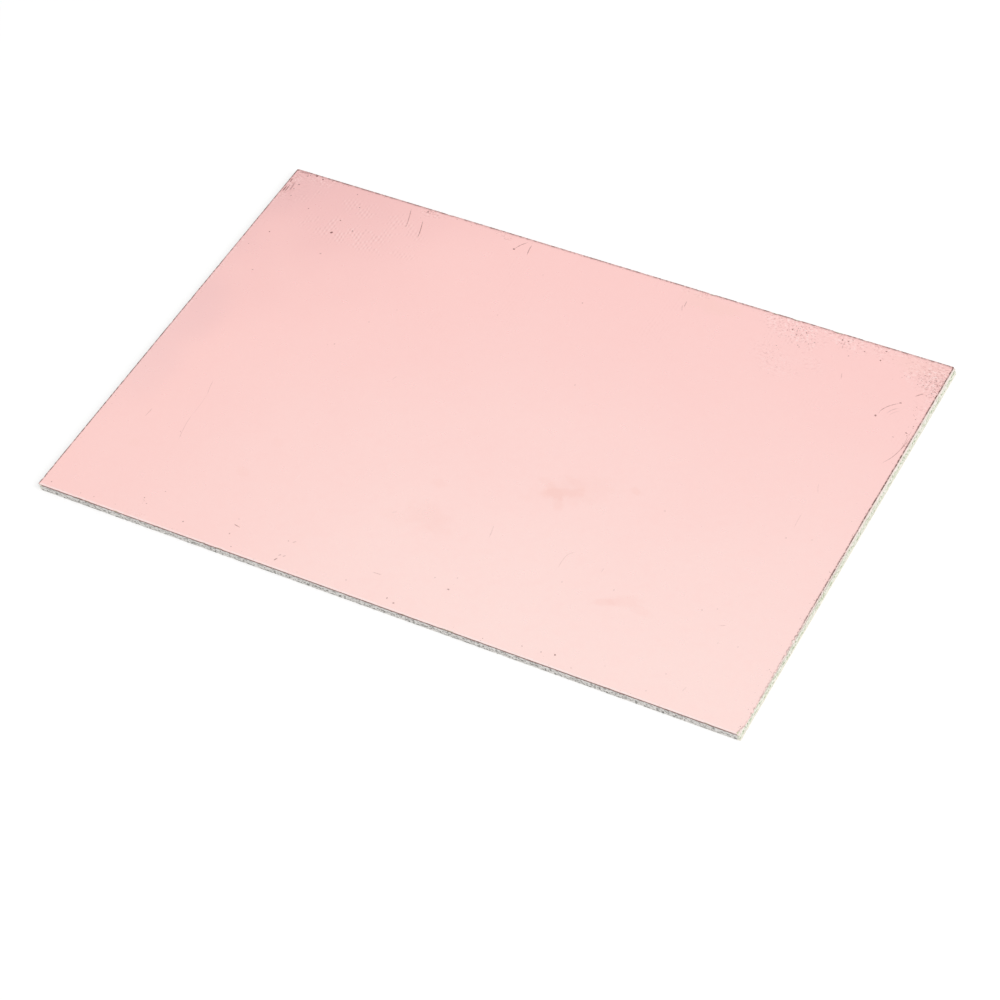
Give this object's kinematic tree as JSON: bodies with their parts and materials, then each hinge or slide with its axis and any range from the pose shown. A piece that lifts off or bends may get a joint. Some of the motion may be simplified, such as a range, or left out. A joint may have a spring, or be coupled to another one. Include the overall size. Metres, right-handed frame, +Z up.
{
  "type": "copper clad board",
  "caption": "Rectangular blank of single-sided copper clad laminate: bright copper foil bonded over a stiff pale woven-glass epoxy sheet, with plain cut edges.",
  "frame": {"origin": "centre of the bounding box at the bare underside, Z = 0 on the surface that the board lies on", "axes": "+X along the long sides, towards the end that leans out under the foil; +Y across the board; +Z up, out of the copper face"},
  "size_m": [0.15, 0.1, 0.0016],
  "materials": {
    "glass_epoxy": "satin",
    "copper": "satin"
  },
  "bodies": {
    "root": {"laminate_core": "glass_epoxy", "copper_foil": "copper"}
  },
  "joints": []
}
